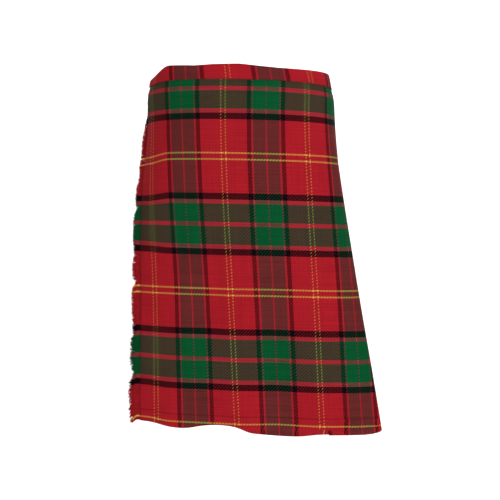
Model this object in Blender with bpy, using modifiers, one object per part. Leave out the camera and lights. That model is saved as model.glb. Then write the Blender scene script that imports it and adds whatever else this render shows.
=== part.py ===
# A Scottish kilt, worn and hollow: over-apron, pleated back, under-apron, waistband, side fringe
# and two buckled straps. Metres, +Z up, front towards -Y, wearer's right towards -X.
# The origin is the middle of the waist opening, where the wearer holds the kilt up.
import math
from collections import namedtuple

import bpy
import numpy as np

# Cloth sizes
CLOTH = 0.0010          # wall of one layer of tartan
BAND_CLOTH = 0.0012     # wall of the waistband strip
GAP = 0.0003            # room between pieces that touch
BAND_HEIGHT = 0.026     # waistband, top fold to seam
CLOTH_TOP = 0.0018      # the tartan ends this far below the waistband's top fold
HEM_DROP = 0.606        # hem of the pleats, below the waist edge
UNDER_HEM = 0.586       # the under-apron is cut a little shorter
SIDE_TILT = 0.020       # the kilt hangs lower on the wearer's left, metres per metre

# Pleats
PLEATS = 22             # knife pleats round the back
LAYER_PITCH = 0.0014    # middle to middle of neighbouring layers in a pleat
CREASE_NOSE = 0.0006    # how far a pressed crease reaches past the layers it joins
SETT = 0.141            # one repeat of the tartan's stripes along the cloth
LAST_CREASE = 0.030     # from the over-apron's woven edge to the last pleat's crease
FRINGE = 0.014          # reach of the fringe past the woven edge
FRINGE_GAP = 0.0008
FRINGE_TOP = 0.004      # its top below the waistband
UNDER_SET = 0.0085      # depth of the under-apron inside the form
UNDER_LEAD = 0.014      # it nears that depth this far before the woven edge's place
UNDER_LEAD_SHY = 0.001  # and is still this much outside it there
UNDER_SHORT = 0.022     # its free end stops this far short of the deep pleat
BAND_PAST = 0.003       # the waistband runs this far past the last crease at the pleats' depth
BAND_STEP = 0.009       # and has stepped inwards, nearly to the under-apron, by here
BAND_STEP_SHY = 0.0035

# Plan of the form at each drop below the waist edge. left and right are the reaches to the sides,
# leftY and rightY where those side points lie, front and back the reaches in depth, thread the x
# of the apron's middle yellow stripe, edge and fold the cloth from that stripe to the over-apron's
# woven edge and, past the next stripe, to its fold.
Section = namedtuple("Section", "drop left leftY right rightY front back thread edge fold")
SECTIONS = (
    Section(0.000, 0.152, 0.000, 0.158, 0.000, 0.104, 0.106, -0.022, 0.178, 0.062),
    Section(0.050, 0.156, 0.000, 0.167, -0.004, 0.108, 0.112, -0.023, 0.176, 0.066),
    Section(0.110, 0.158, -0.004, 0.171, -0.014, 0.112, 0.124, -0.023, 0.171, 0.072),
    Section(0.210, 0.166, -0.015, 0.180, -0.034, 0.115, 0.138, -0.020, 0.165, 0.076),
    Section(0.360, 0.174, -0.035, 0.203, -0.044, 0.117, 0.148, -0.012, 0.159, 0.084),
    Section(0.610, 0.180, -0.050, 0.248, -0.053, 0.118, 0.160, 0.000, 0.167, 0.109),
)
FRONT_ROUND = 2.3       # superellipse power of the two front quarters
BACK_ROUND = 2.15       # and of the two back quarters
ROWS = (CLOTH_TOP, BAND_HEIGHT, 0.050, 0.110, 0.210, 0.360)    # the cloth's rows, the hem comes last
APRON_STEPS = 20        # columns across the over-apron, up to its deep pleat
UNDER_STEPS = 16        # columns across the under-apron
PLAN_STEPS = 400        # points that measure each quarter of the plan
FLARE_STEP = 0.002      # longest step in walking the over-apron's plan

# The over-apron's ends turn less than the form does, and stand off it towards the hem.
FLARE_RIGHT = 0.060
FLARE_LEFT = 0.070
FLARE_FROM = 0.10       # drop where the ends start to stand off
FLARE_OVER = 0.40       # and the further drop over which they reach
FLARE_MOST = 0.60       # this share of the turn left out

# The over-apron's hem is rolled under by uneven amounts: cloth across from the thread, drop.
Hem = namedtuple("Hem", "across drop")
APRON_HEM = (
    Hem(-0.190, 0.598),
    Hem(-0.138, 0.599),
    Hem(-0.083, 0.601),
    Hem(-0.056, 0.596),
    Hem(-0.029, 0.594),
    Hem(0.000, 0.597),
    Hem(0.025, 0.607),
    Hem(0.052, 0.611),
    Hem(0.106, 0.611),
    Hem(0.133, 0.607),
    Hem(0.186, 0.605),
    Hem(0.250, 0.600),
)

# The over-apron's free side hangs unevenly at the wearer's right: by this much at each drop,
# from none at SAG_START out to the side to all of it at SAG_FULL.
Sag = namedtuple("Sag", "drop depth")
SAGS = (
    Sag(0.000, 0.0085),
    Sag(0.026, 0.0030),
    Sag(0.050, 0.0000),
    Sag(0.085, 0.0002),
    Sag(0.120, 0.0035),
    Sag(0.152, 0.0065),
    Sag(0.190, 0.0055),
    Sag(0.235, 0.0035),
    Sag(0.265, 0.0000),
    Sag(0.300, -0.0020),
    Sag(0.370, 0.0000),
    Sag(0.610, -0.0035),
)
SAG_START = 0.112
SAG_FULL = 0.152
SAG_BACK = 0.085        # reach to the back where it has gone
DROOP = 0.0065          # the hem hangs lower still at the wearer's left
DROOP_SIDES = (0.050, 0.240)
DROOP_DROPS = (0.150, 0.610)

# Fastenings, from the over-apron's woven edge round the wearer's right side
Fastening = namedtuple("Fastening", "name drop surface")
FASTENINGS = (
    Fastening("waist", 0.013, -0.0019),
    Fastening("hip", 0.112, -0.0009),
)
STRAP_WIDTH = 0.022
STRAP_LEATHER = 0.0020
TAB_LEATHER = 0.0015
TAB_WIDTH = 0.019
BUCKLE_WIRE = 0.0015    # radius of the buckle's frame
BUCKLE_LENGTH = 0.022   # between the frame's two cross bars
BUCKLE_WIDTH = 0.027
BUCKLE_CORNER = 0.004
PRONG_WIRE = 0.0010
STRAP_ROOT = 0.022      # strap sewn inside the over-apron's edge
STRAP_CLEAR = 0.004     # it stays at that depth until past the woven edge by this much
STRAP_CROSS = 0.016     # crosses outwards past the fringe
STRAP_CROSS_DEPTH = 0.0015
STRAP_DOWN = 0.026      # lies on the pleats
STRAP_FAR = 0.098       # strap tip past the woven edge
FRONT_BAR = 0.052       # the buckle's bars, past the woven edge
BAR_EASE = 0.007        # the strap starts to rise and levels out this far from a bar
BEFORE_BAR = 0.012
PAST_BAR = 0.010
STRAP_RISE = 0.0008     # how far the strap has risen at the ease
STRAP_EASE = 0.0004
OVER_BAR = 0.0010       # room between the buckle's back bar and the strap's middle
TAB_ROOM = 0.0008       # between the back bar and the buckle tab
TAB_FAR = 0.112
TAB_STEPS = 4
CORNER_STEPS = 4
PRONG_PATH = ((-0.0025, 0.0004), (0.0, 0.0), (0.006, 0.0001), (0.0115, -0.0003))    # past the bar, depth


def smooth_step(value, start, end):
    share = min(1.0, max(0.0, (value - start) / (end - start)))
    return share * share * (3.0 - 2.0 * share)


def smooth_table(position, positions, values):
    # A cubic through the rows of a table, level with their slopes.
    slopes = np.gradient(values, positions)
    cell = int(np.clip(np.searchsorted(positions, position) - 1, 0, len(positions) - 2))
    width = positions[cell + 1] - positions[cell]
    share = (position - positions[cell]) / width
    rise = share * share * (3.0 - 2.0 * share)
    start_slope = share * (1.0 - share) ** 2 * width * slopes[cell]
    end_slope = share * share * (share - 1.0) * width * slopes[cell + 1]
    return (1.0 - rise) * values[cell] + rise * values[cell + 1] + start_slope + end_slope


def section_at(drop):
    table = np.array(SECTIONS)
    values = [smooth_table(drop, table[:, 0], table[:, column]) for column in range(1, table.shape[1])]
    return Section(drop, *values)


def quarter(start, end, power, start_is_front):
    # One quarter of the plan, from a point on the front or back to a side point or the other way.
    angle = np.linspace(0.0, math.pi / 2.0, PLAN_STEPS)
    out = np.sin(angle) ** (2.0 / power)
    along = np.cos(angle) ** (2.0 / power)
    if start_is_front:
        x = start[0] + (end[0] - start[0]) * out
        y = end[1] + (start[1] - end[1]) * along
    else:
        x = end[0] + (start[0] - end[0]) * along
        y = start[1] + (end[1] - start[1]) * out
    return np.column_stack((x, y))


class Ring:
    # The plan of the form at one drop, measured along the cloth from the middle stripe's thread.
    def __init__(self, drop):
        self.section = section_at(drop)
        size = self.section
        middle = (size.right - size.left) / 2.0
        front = (middle, -size.front)
        back = (middle, size.back)
        left = (-size.left, size.leftY)
        right = (size.right, size.rightY)
        self.points = np.vstack((
            quarter(front, right, FRONT_ROUND, True)[:-1],
            quarter(right, back, BACK_ROUND, False)[:-1],
            quarter(back, left, BACK_ROUND, True)[:-1],
            quarter(left, front, FRONT_ROUND, False),
        ))
        steps = np.linalg.norm(np.diff(self.points, axis=0), axis=1)
        self.along = np.concatenate(((0.0,), np.cumsum(steps)))
        self.length = self.along[-1]
        # The thread lies on the front, in the ring's first or last quarter.
        last = self.points[-PLAN_STEPS:]
        first = self.points[:PLAN_STEPS]
        if size.thread < middle:
            self.start = np.interp(size.thread, last[:, 0], self.along[-PLAN_STEPS:])
        else:
            self.start = np.interp(size.thread, first[:, 0], self.along[:PLAN_STEPS])

    def point(self, across):
        place = (across + self.start) % self.length
        return np.array((
            np.interp(place, self.along, self.points[:, 0]),
            np.interp(place, self.along, self.points[:, 1]),
        ))

    def heading(self, across):
        step = self.point(across + 0.001) - self.point(across - 0.001)
        return math.atan2(step[1], step[0])


def apron_curve(drop, stations):
    # The over-apron's plan: the form's own turn, less at its two ends, from the thread outwards.
    ring = Ring(drop)
    fold = SETT + ring.section.fold
    keep = 1.0 - FLARE_MOST * min(1.0, max(0.0, (drop - FLARE_FROM) / FLARE_OVER))
    right_start = ring.heading(fold - FLARE_RIGHT)
    left_start = ring.heading(-ring.section.edge + FLARE_LEFT)

    def turned(across):
        heading = ring.heading(across)
        if across > fold - FLARE_RIGHT:
            return right_start + keep * (heading - right_start)
        if across < -ring.section.edge + FLARE_LEFT:
            turn = (heading - left_start + math.pi) % (2.0 * math.pi) - math.pi
            return left_start + keep * turn
        return heading

    frames = []
    for side in (-1.0, 1.0):
        point = ring.point(0.0)
        here = 0.0
        wanted = sorted((abs(s), s) for s in stations if s * side > 0.0 or (s == 0.0 and side > 0.0))
        for distance, across in wanted:
            pieces = max(1, int(math.ceil((distance - here) / FLARE_STEP)))
            step = (distance - here) / pieces
            for piece in range(pieces):
                middle = (here + (piece + 0.5) * step) * side
                heading = turned(middle)
                point = point + side * step * np.array((math.cos(heading), math.sin(heading)))
            here = distance
            heading = turned(across)
            frames.append((across, point, np.array((-math.sin(heading), math.cos(heading)))))
    frames.sort(key=lambda frame: frame[0])
    return [(point, inward) for across, point, inward in frames]


def ring_frames(drop, stations):
    ring = Ring(drop)
    frames = []
    for across in stations:
        heading = ring.heading(across)
        frames.append((ring.point(across), np.array((-math.sin(heading), math.cos(heading)))))
    return frames


def height(drop, x, y):
    # Height of a point of the cloth, with its sag and droop and the tilt of the whole kilt.
    table = np.array(SAGS)
    sag = smooth_table(drop, table[:, 0], table[:, 1]) * smooth_step(-x, SAG_START, SAG_FULL)
    sag *= 1.0 - smooth_step(y, 0.0, SAG_BACK)
    droop = DROOP * smooth_step(x, *DROOP_SIDES) * smooth_step(drop, *DROOP_DROPS)
    return -drop - sag - droop - SIDE_TILT * x


def placed(frame, depth, drop, forward=0.0):
    # A point of the cloth: in from its frame by depth, and forward along the cloth.
    point, inward = frame
    ahead = np.array((inward[1], -inward[0]))
    plan = point + inward * depth + ahead * forward
    return (plan[0], plan[1], height(drop, plan[0], plan[1]))


def pleat_width(ring):
    start = SETT + ring.section.fold
    end = ring.length - ring.section.edge - LAST_CREASE
    return (end - start) / PLEATS


def creases(ring):
    # Where the ribs lie along the form: crease 0 is the over-apron's fold, the last is pleat 22's.
    start = SETT + ring.section.fold
    width = pleat_width(ring)
    return {rib: start + rib * width for rib in range(-4, PLEATS + 1)}


def apron_stations(ring):
    # Columns of the over-apron: from its woven edge to the deep pleat, and on to the fold.
    ribs = creases(ring)
    edge = -ring.section.edge
    step = (ribs[-3] - edge) / APRON_STEPS
    return [edge + step * column for column in range(APRON_STEPS)] + [ribs[rib] for rib in (-3, -2, -1, 0)]


def apron_hem(across):
    table = np.array(APRON_HEM)
    return smooth_table(across, table[:, 0], table[:, 1])


# Mesh making

def new_material(name, colour, roughness, metallic=0.0):
    material = bpy.data.materials.new(name)
    material.use_nodes = True
    shader = material.node_tree.nodes["Principled BSDF"]
    shader.inputs["Base Color"].default_value = (*colour, 1.0)
    shader.inputs["Roughness"].default_value = roughness
    shader.inputs["Metallic"].default_value = metallic
    return material


def sheet_object(name, rows, stations, thickness, material):
    # An open sheet through rows of equally many points, thickened evenly to both sides.
    # Its quads are all split the same way along the form, so that close layers stay clear.
    columns = len(stations)
    vertices = [point for row in rows for point in row]
    faces = []
    for row in range(len(rows) - 1):
        for column in range(columns - 1):
            here = row * columns + column
            below = here + columns
            forward = stations[column + 1] > stations[column]
            downward = rows[row][column][2] >= rows[row + 1][column][2]
            if forward == downward:
                faces += [(here, here + 1, below + 1), (here, below + 1, below)]
            else:
                faces += [(here, here + 1, below), (here + 1, below + 1, below)]
    mesh = bpy.data.meshes.new(name)
    mesh.from_pydata(vertices, [], faces)
    mesh.materials.append(material)
    piece = bpy.data.objects.new(name, mesh)
    kilt.objects.link(piece)
    solidify = piece.modifiers.new("wall", "SOLIDIFY")
    solidify.thickness = thickness
    solidify.offset = 0.0
    solidify.use_even_offset = True
    return piece


def wire_object(name, points, radius, cyclic, material):
    curve = bpy.data.curves.new(name, "CURVE")
    curve.dimensions = "3D"
    curve.bevel_depth = radius
    curve.bevel_resolution = 2
    curve.use_fill_caps = not cyclic
    spline = curve.splines.new("POLY")
    spline.points.add(len(points) - 1)
    for spot, place in zip(spline.points, points):
        spot.co = (*place, 1.0)
    spline.use_cyclic_u = cyclic
    curve.materials.append(material)
    piece = bpy.data.objects.new(name, curve)
    kilt.objects.link(piece)
    return piece


# The pieces

def make_over_apron(material):
    # Woven edge, front, fold, and the deep pleat's hidden layer behind the fold.
    rows = []
    outer = CLOTH / 2.0
    inner = outer + LAYER_PITCH
    for drop in (*ROWS, None):
        ring = Ring(HEM_DROP if drop is None else drop)
        stations = apron_stations(ring)
        frames = apron_curve(ring.section.drop, stations)
        downs = [apron_hem(across) if drop is None else drop for across in stations]
        row = [placed(frame, outer, down) for frame, down in zip(frames, downs)]
        row.append(placed(frames[-1], (outer + inner) / 2.0, downs[-1], CREASE_NOSE))
        for back in (-1, -2, -3, -4):
            row.append(placed(frames[back], inner, downs[-1]))
        rows.append(row)
    nose = [stations[-1] + CREASE_NOSE]
    columns = stations + nose + [stations[back] for back in (-1, -2, -3, -4)]
    return sheet_object("over_apron", rows, columns, CLOTH, material)


def make_pleated_back(material):
    # One continuous cloth: each pleat runs under for two visible widths and out again.
    # Each column is a rib, a layer counted inwards from the form, and a reach past the rib.
    columns = [(-3, 2, 0.0), (-2, 2, 0.0), (-1, 2, 0.0), (0, 2, 0.0)]
    for pleat in range(1, PLEATS + 1):
        columns += [(pleat, 0, 0.0), (pleat, 0.5, CREASE_NOSE)]
        columns += [(pleat, 1, 0.0), (pleat - 1, 3, 0.0), (pleat - 2, 5, 0.0)]
        if pleat < PLEATS:
            columns += [(pleat - 2, 5.5, -CREASE_NOSE)]
            columns += [(pleat - 2, 6, 0.0), (pleat - 1, 4, 0.0), (pleat, 2, 0.0)]
    rows = []
    for drop in (*ROWS, HEM_DROP):
        ribs = creases(Ring(drop))
        frames = dict(zip(ribs, ring_frames(drop, ribs.values())))
        row = []
        for rib, layer, reach in columns:
            depth = CLOTH / 2.0 + layer * LAYER_PITCH
            row.append(placed(frames[rib], depth, drop, reach))
        rows.append(row)
    stations = [rib + reach for rib, layer, reach in columns]
    return sheet_object("pleated_back", rows, stations, CLOTH, material)


def under_path(ring):
    # The under-apron, from inside the last pleat to its free end under the over-apron:
    # cloth along the form, depth of its middle.
    ribs = creases(ring)
    edge = ring.length - ring.section.edge
    free_end = ring.length + ribs[-3] - UNDER_SHORT
    path = [
        (ribs[PLEATS - 2], CLOTH / 2.0 + 6 * LAYER_PITCH),
        (ribs[PLEATS - 1], CLOTH / 2.0 + 4 * LAYER_PITCH),
        (ribs[PLEATS], CLOTH / 2.0 + 3 * LAYER_PITCH),
        (edge - UNDER_LEAD, UNDER_SET - UNDER_LEAD_SHY),
        (edge, UNDER_SET),
    ]
    for step in range(1, UNDER_STEPS + 1):
        path.append((edge + (free_end - edge) * step / UNDER_STEPS, UNDER_SET))
    return path


def make_under_apron(material):
    rows = []
    for drop in (*ROWS, UNDER_HEM):
        ring = Ring(drop)
        path = under_path(ring)
        frames = ring_frames(drop, [across for across, depth in path])
        rows.append([placed(frame, depth, drop) for (across, depth), frame in zip(path, frames)])
    return sheet_object("under_apron", rows, [across for across, depth in path], CLOTH, material)


def band_path(ring):
    # The waistband's two faces all along the cloth: across, depth outside, depth inside.
    ribs = creases(ring)
    half = BAND_CLOTH / 2.0
    over_out = -GAP - half
    over_in = CLOTH + GAP + half
    stack_in = over_in + LAYER_PITCH * 6.0
    under_reach = CLOTH / 2.0 + GAP + half
    path = []
    for across in apron_stations(ring):
        inside = over_in if across < ribs[-3] - GAP else stack_in
        path.append((across, over_out, inside))
    for rib in range(1, PLEATS + 1):
        path.append((ribs[rib], over_out, stack_in))
    path.append((ribs[PLEATS] + BAND_PAST, over_out, stack_in))
    stepped_out = UNDER_SET - under_reach - BAND_STEP_SHY
    path.append((ribs[PLEATS] + BAND_STEP, stepped_out, UNDER_SET + under_reach))
    for across, depth in under_path(ring)[3:]:
        path.append((across, depth - under_reach, depth + under_reach))
    return path


def make_waistband(material):
    # A strip folded over the top of the cloth, from the over-apron's edge to the under-apron's end.
    upper = Ring(0.0)
    lower = Ring(BAND_HEIGHT)
    upper_path = band_path(upper)
    lower_path = band_path(lower)
    upper_frames = ring_frames(0.0, [across for across, outside, inside in upper_path])
    lower_frames = ring_frames(BAND_HEIGHT, [across for across, outside, inside in lower_path])
    top = BAND_CLOTH / 2.0
    faces = ([], [], [], [])
    for index, (across, outside, inside) in enumerate(upper_path):
        faces[0].append(placed(lower_frames[index], outside, BAND_HEIGHT))
        faces[1].append(placed(upper_frames[index], outside, top))
        faces[2].append(placed(upper_frames[index], inside, top))
        faces[3].append(placed(lower_frames[index], inside, BAND_HEIGHT))
    stations = [across for across, outside, inside in upper_path]
    return sheet_object("waistband", faces, stations, BAND_CLOTH, material)


def make_fringe(material):
    # Plain solid of the fringe's reach, past the over-apron's woven edge.
    rows = []
    for drop in (BAND_HEIGHT + FRINGE_TOP, *ROWS[2:], None):
        measured = Ring(HEM_DROP if drop is None else drop)
        edge = -measured.section.edge
        down = apron_hem(edge) if drop is None else drop
        frame = apron_curve(measured.section.drop, (edge,))[0]
        row = [placed(frame, CLOTH / 2.0, down, -reach) for reach in (FRINGE_GAP, FRINGE / 2.0, FRINGE)]
        rows.append(row)
    return sheet_object("apron_fringe", rows, (2, 1, 0), CLOTH, material)


def side_point(fastening, place, side, depth):
    # A point on the wearer's right side: past the over-apron's woven edge, down from the
    # fastening's own drop, and in from the form.
    drop = fastening.drop + side
    across = -Ring(drop).section.edge - place
    frame = ring_frames(drop, (across,))[0]
    return placed(frame, depth, drop)


def strip_rows(fastening, path, width):
    # A strip of leather along the side: (distance past the edge, depth of its middle) each.
    rows = []
    for place, depth in path:
        rows.append([side_point(fastening, place, side * width, depth) for side in (-0.5, 0.5)])
    return rows


def make_strap(fastening, material):
    half = STRAP_LEATHER / 2.0
    inside_edge = CLOTH + 2.0 * GAP + half
    if fastening.drop < BAND_HEIGHT:
        inside_edge += GAP + BAND_CLOTH
    on_cloth = fastening.surface - 2.0 * GAP - half
    over_tab = on_cloth - TAB_LEATHER - GAP
    over_bar = on_cloth - 2.0 * BUCKLE_WIRE - OVER_BAR
    back_bar = FRONT_BAR + BUCKLE_LENGTH
    path = (
        (-STRAP_ROOT, inside_edge),
        (-STRAP_ROOT / 2.0, inside_edge),
        (STRAP_CLEAR, inside_edge),
        (STRAP_CROSS, STRAP_CROSS_DEPTH),
        (STRAP_DOWN, on_cloth),
        (FRONT_BAR - BEFORE_BAR, on_cloth),
        (FRONT_BAR, on_cloth),
        (FRONT_BAR + BAR_EASE, on_cloth - STRAP_RISE),
        (back_bar - BAR_EASE, over_bar + STRAP_EASE),
        (back_bar, over_bar),
        (back_bar + PAST_BAR, over_tab - STRAP_EASE),
        (STRAP_FAR, over_tab),
    )
    rows = strip_rows(fastening, path, STRAP_WIDTH)
    return sheet_object(fastening.name + "_strap", rows, (0, 1), STRAP_LEATHER, material)


def make_buckle_tab(fastening, material):
    depth = fastening.surface - GAP - TAB_LEATHER / 2.0
    start = FRONT_BAR + BUCKLE_LENGTH + BUCKLE_WIRE + TAB_ROOM
    path = [(start + (TAB_FAR - start) * step / TAB_STEPS, depth) for step in range(TAB_STEPS + 1)]
    rows = strip_rows(fastening, path, TAB_WIDTH)
    return sheet_object(fastening.name + "_buckle_tab", rows, (0, 1), TAB_LEATHER, material)


def make_buckle(fastening, material):
    # A rounded frame: its front bar lies over the strap, its back bar under it.
    strap_top = fastening.surface - 2.0 * GAP - STRAP_LEATHER
    front_depth = strap_top - GAP - BUCKLE_WIRE
    back_depth = fastening.surface - GAP - BUCKLE_WIRE
    outline = []
    for corner, (along, side) in enumerate(((0.0, -1.0), (1.0, -1.0), (1.0, 1.0), (0.0, 1.0))):
        centre_along = BUCKLE_CORNER if along == 0.0 else BUCKLE_LENGTH - BUCKLE_CORNER
        centre_side = side * (BUCKLE_WIDTH / 2.0 - BUCKLE_CORNER)
        for step in range(CORNER_STEPS + 1):
            angle = math.pi + (corner + step / CORNER_STEPS) * math.pi / 2.0
            outline.append((
                centre_along + BUCKLE_CORNER * math.cos(angle),
                centre_side + BUCKLE_CORNER * math.sin(angle),
            ))
    points = []
    for along, side in outline:
        depth = front_depth + (back_depth - front_depth) * along / BUCKLE_LENGTH
        points.append(side_point(fastening, FRONT_BAR + along, side, depth))
    return wire_object(fastening.name + "_buckle", points, BUCKLE_WIRE, True, material)


def make_prong(fastening, material):
    # The tongue, from where it comes up through the strap to rest on the front bar.
    strap_top = fastening.surface - 2.0 * GAP - STRAP_LEATHER
    on_bar = strap_top - GAP - 2.0 * BUCKLE_WIRE - GAP - PRONG_WIRE
    points = [side_point(fastening, FRONT_BAR + past, 0.0, on_bar + deep) for past, deep in PRONG_PATH]
    return wire_object(fastening.name + "_buckle_prong", points, PRONG_WIRE, False, material)


for leftover in list(bpy.data.objects):
    bpy.data.objects.remove(leftover, do_unlink=True)
kilt = bpy.data.collections.new("kilt")
bpy.context.scene.collection.children.link(kilt)

make_over_apron(new_material("apron tartan", (0.36, 0.02, 0.02), 0.85))
make_pleated_back(new_material("pleat tartan", (0.24, 0.03, 0.02), 0.85))
make_under_apron(new_material("under-apron tartan", (0.30, 0.02, 0.02), 0.85))
make_waistband(new_material("waistband tartan", (0.40, 0.02, 0.03), 0.85))
make_fringe(new_material("fringe yarn", (0.20, 0.06, 0.03), 0.90))
for fastening in FASTENINGS:
    make_strap(fastening, new_material(fastening.name + " strap leather", (0.02, 0.015, 0.012), 0.5))
    make_buckle_tab(fastening, new_material(fastening.name + " tab leather", (0.02, 0.015, 0.012), 0.5))
    make_buckle(fastening, new_material(fastening.name + " buckle steel", (0.6, 0.6, 0.6), 0.25, 1.0))
    make_prong(fastening, new_material(fastening.name + " prong steel", (0.6, 0.6, 0.6), 0.25, 1.0))
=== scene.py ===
import math
from collections import namedtuple

import bpy
import numpy as np
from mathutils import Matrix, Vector


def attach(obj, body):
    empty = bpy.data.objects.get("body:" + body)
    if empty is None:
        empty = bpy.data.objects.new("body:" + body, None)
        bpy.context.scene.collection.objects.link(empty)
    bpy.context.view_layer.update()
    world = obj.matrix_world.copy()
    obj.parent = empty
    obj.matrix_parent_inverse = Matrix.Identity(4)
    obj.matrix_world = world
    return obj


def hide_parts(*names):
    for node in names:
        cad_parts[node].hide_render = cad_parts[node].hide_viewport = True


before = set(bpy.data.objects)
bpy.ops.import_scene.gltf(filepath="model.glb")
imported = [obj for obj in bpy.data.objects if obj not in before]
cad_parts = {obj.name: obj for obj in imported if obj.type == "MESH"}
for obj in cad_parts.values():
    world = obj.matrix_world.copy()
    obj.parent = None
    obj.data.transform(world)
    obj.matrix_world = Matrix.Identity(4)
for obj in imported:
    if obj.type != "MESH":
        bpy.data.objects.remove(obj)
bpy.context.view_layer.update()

dice = np.random.default_rng(11)  # every uneven stitch and thread comes from here, in order

# Camera: in front of the apron, a little under half way down it

cameraSet = {
    "place": (0.021, -1.460, -0.256),
    "aim": (0.021, -0.110, -0.305),
    "lens": 59.3,
}
camera = bpy.data.objects.new("camera", bpy.data.cameras.new("camera"))
camera.data.lens = cameraSet["lens"]
camera.location = cameraSet["place"]
sight = Vector(cameraSet["aim"]) - Vector(cameraSet["place"])
camera.rotation_euler = sight.to_track_quat("-Z", "Y").to_euler()
bpy.context.scene.collection.objects.link(camera)
bpy.context.scene.camera = camera
bpy.context.scene.view_settings.view_transform = "Standard"


# The form: plans of the kilt at each drop below the waist edge, the same as the CAD's

form = {
    "tilt": 0.020,  # the kilt hangs lower on the wearer's left
    "sett": 0.141,  # one repeat of the stripes along the cloth
    "pleats": 22,
    "pitch": 0.0014,  # between the middles of neighbouring layers
    "nose": 0.0006,  # a crease's reach past its layers
    "clothTop": 0.0018,  # drop of the panels' upper edges, inside the waistband
    "band": 0.026,  # depth of the waistband
    "hem": 0.606,
    "underHem": 0.586,  # drop of the under-apron's hem
    "lastCrease": 0.030,  # from the last crease to the over-apron's edge
    "frontRound": 2.3,  # 2 is an ellipse, and more is squarer
    "backRound": 2.15,
    "wall": 0.0010,  # the CAD's wall, whose middle lies half of this inside the form
}
Section = namedtuple("Section", "drop left leftY right rightY front back thread edge fold")
sections = np.array((
    Section(0.000, 0.152, 0.000, 0.158, 0.000, 0.104, 0.106, -0.022, 0.178, 0.062),
    Section(0.050, 0.156, 0.000, 0.167, -0.004, 0.108, 0.112, -0.023, 0.176, 0.066),
    Section(0.110, 0.158, -0.004, 0.171, -0.014, 0.112, 0.124, -0.023, 0.171, 0.072),
    Section(0.210, 0.166, -0.015, 0.180, -0.034, 0.115, 0.138, -0.020, 0.165, 0.076),
    Section(0.360, 0.174, -0.035, 0.203, -0.044, 0.117, 0.148, -0.012, 0.159, 0.084),
    Section(0.610, 0.180, -0.050, 0.248, -0.053, 0.118, 0.160, 0.000, 0.167, 0.109),
))
flare = {
    "right": 0.060,  # how far from the fold the over-apron starts to turn less than the form
    "left": 0.070,  # and how far from its free edge
    "start": 0.10,  # drop where that begins
    "over": 0.40,
    "most": 0.60,
    "step": 0.001,  # between the places where the turning is added up
    "pastEdge": 0.030,
    "pastFold": 0.012,
}
Hem = namedtuple("Hem", "across drop")
apronHem = np.array((
    Hem(-0.190, 0.598),
    Hem(-0.138, 0.599),
    Hem(-0.083, 0.601),
    Hem(-0.056, 0.596),
    Hem(-0.029, 0.594),
    Hem(0.000, 0.597),
    Hem(0.025, 0.607),
    Hem(0.052, 0.611),
    Hem(0.106, 0.611),
    Hem(0.133, 0.607),
    Hem(0.186, 0.605),
    Hem(0.250, 0.600),
))
Sag = namedtuple("Sag", "drop depth")  # how the over-apron's free side hangs, at the wearer's right
sags = np.array((
    Sag(0.000, 0.0085),
    Sag(0.026, 0.0030),
    Sag(0.050, 0.0000),
    Sag(0.085, 0.0002),
    Sag(0.120, 0.0035),
    Sag(0.152, 0.0065),
    Sag(0.190, 0.0055),
    Sag(0.235, 0.0035),
    Sag(0.265, 0.0000),
    Sag(0.300, -0.0020),
    Sag(0.370, 0.0000),
    Sag(0.610, -0.0035),
))
hang = {
    "sagSides": (0.112, 0.152),
    "sagBack": (0.000, 0.085),  # the sag fades towards the back
    "corner": 0.0085,  # the waist edge slopes down at the over-apron's free corner
    "cornerSides": (0.116, 0.150),
    "cornerDrop": 0.026,
    "cornerBack": (-0.030, 0.030),
    "dipBack": (-0.060, 0.000),
    "droop": 0.0065,  # the hem hangs lower still at the wearer's left
    "sides": (0.050, 0.240),
    "drops": (0.150, 0.610),
}
planSteps = 1200  # points that measure each quarter of a plan


def smoothStep(value, start, end):
    share = np.clip((np.asarray(value, dtype=float) - start) / (end - start), 0.0, 1.0)
    return share * share * (3.0 - 2.0 * share)


def bump(value, centre, width):
    return np.exp(-((value - centre) / width) ** 2)


def smoothTable(position, table):
    # A smooth curve through a table of places and values
    positions, values = np.asarray(table).T
    position = np.asarray(position, dtype=float)
    slopes = np.gradient(values, positions)
    cell = np.clip(np.searchsorted(positions, position) - 1, 0, len(positions) - 2)
    width = positions[cell + 1] - positions[cell]
    share = (position - positions[cell]) / width
    rise = share * share * (3.0 - 2.0 * share)
    startSlope = share * (1.0 - share) ** 2 * width * slopes[cell]
    endSlope = share * share * (share - 1.0) * width * slopes[cell + 1]
    return (1.0 - rise) * values[cell] + rise * values[cell + 1] + startSlope + endSlope


def sectionAt(drop):
    columns = range(1, sections.shape[1])
    return Section(drop, *(float(smoothTable(drop, sections[:, (0, column)])) for column in columns))


def quarter(start, end, power, startIsFront):
    angle = np.linspace(0.0, math.pi / 2.0, planSteps)
    out = np.sin(angle) ** (2.0 / power)
    along = np.cos(angle) ** (2.0 / power)
    if startIsFront:
        return np.column_stack((start[0] + (end[0] - start[0]) * out, end[1] + (start[1] - end[1]) * along))
    return np.column_stack((end[0] + (start[0] - end[0]) * along, start[1] + (end[1] - start[1]) * out))


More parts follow.
